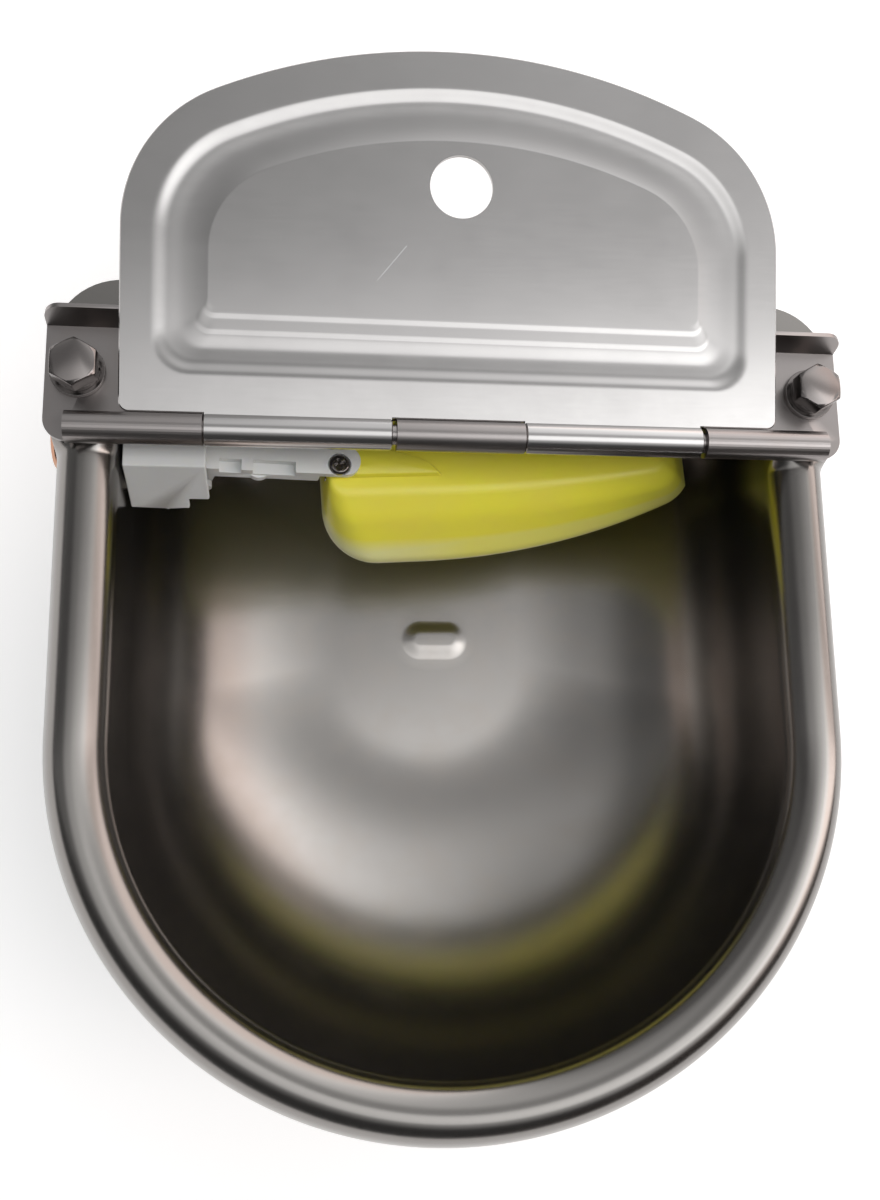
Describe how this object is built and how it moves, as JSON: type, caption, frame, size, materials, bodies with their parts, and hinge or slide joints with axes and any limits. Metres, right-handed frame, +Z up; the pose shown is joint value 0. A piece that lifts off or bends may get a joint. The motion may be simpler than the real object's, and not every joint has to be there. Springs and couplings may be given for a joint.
{
  "type": "livestock drinking bowl",
  "caption": "Wall hung stainless drinking bowl with a rolled lip, a hinged guard flap and a float valve under the bridge plate.",
  "frame": {"origin": "middle of the two wall bolt holes, on the back face of the bowl", "axes": "+X to the right seen from the front, +Y towards the wall, +Z up"},
  "size_m": [0.244, 0.3166, 0.119],
  "materials": {
    "stainless_bowl": "satin drawn stainless steel",
    "stainless_sheet": "satin stainless sheet",
    "stainless_flap": "satin stainless sheet, slightly brighter",
    "stainless_pin": "plain stainless rod",
    "zinc_steel": "bright zinc plated steel",
    "brass": "turned brass",
    "black_rubber": "matt black rubber",
    "white_plastic": "off-white moulded plastic",
    "yellow_plastic": "bright yellow moulded plastic, soft gloss"
  },
  "bodies": {
    "bowl_frame": {"bowl": "stainless_bowl", "bridge_plate": "stainless_sheet", "hinge_pin": "stainless_pin", "bridge_bolts": "zinc_steel", "bolt_washers": "zinc_steel", "spring_washers": "zinc_steel", "under_washers": "zinc_steel", "bolt_nuts": "zinc_steel", "inlet_connector": "brass", "inlet_locknut": "brass", "inlet_gasket": "black_rubber", "inner_gasket": "black_rubber", "valve_body": "white_plastic", "valve_cap": "white_plastic", "valve_nozzle": "white_plastic", "lever_pivot_pin": "stainless_pin"},
    "flap": {"guard_flap": "stainless_flap"},
    "lever": {"lever_arm": "white_plastic", "float": "yellow_plastic", "float_screw": "zinc_steel", "float_nut": "zinc_steel"},
    "plunger": {"valve_plunger": "white_plastic", "seal_disc": "black_rubber"}
  },
  "joints": [
    {"name": "flap_hinge", "type": "hinge", "parent": "bowl_frame", "child": "flap", "pos_m": [0, -0.048, 0.03], "axis": [1, 0, 0], "range_deg": [0, 215]},
    {"name": "float_lever", "type": "hinge", "parent": "bowl_frame", "child": "lever", "pos_m": [-0.0802, -0.048, -0.007], "axis": [0, -1, 0], "range_deg": [0, 6]},
    {"name": "plunger_slide", "type": "slide", "parent": "bowl_frame", "child": "plunger", "axis": [-1, 0, 0], "range_m": [0, 0.00106]}
  ],
  "couplings": [
    {"joint": "plunger_slide", "follows": "float_lever", "m_per_rad": 0.01}
  ]
}
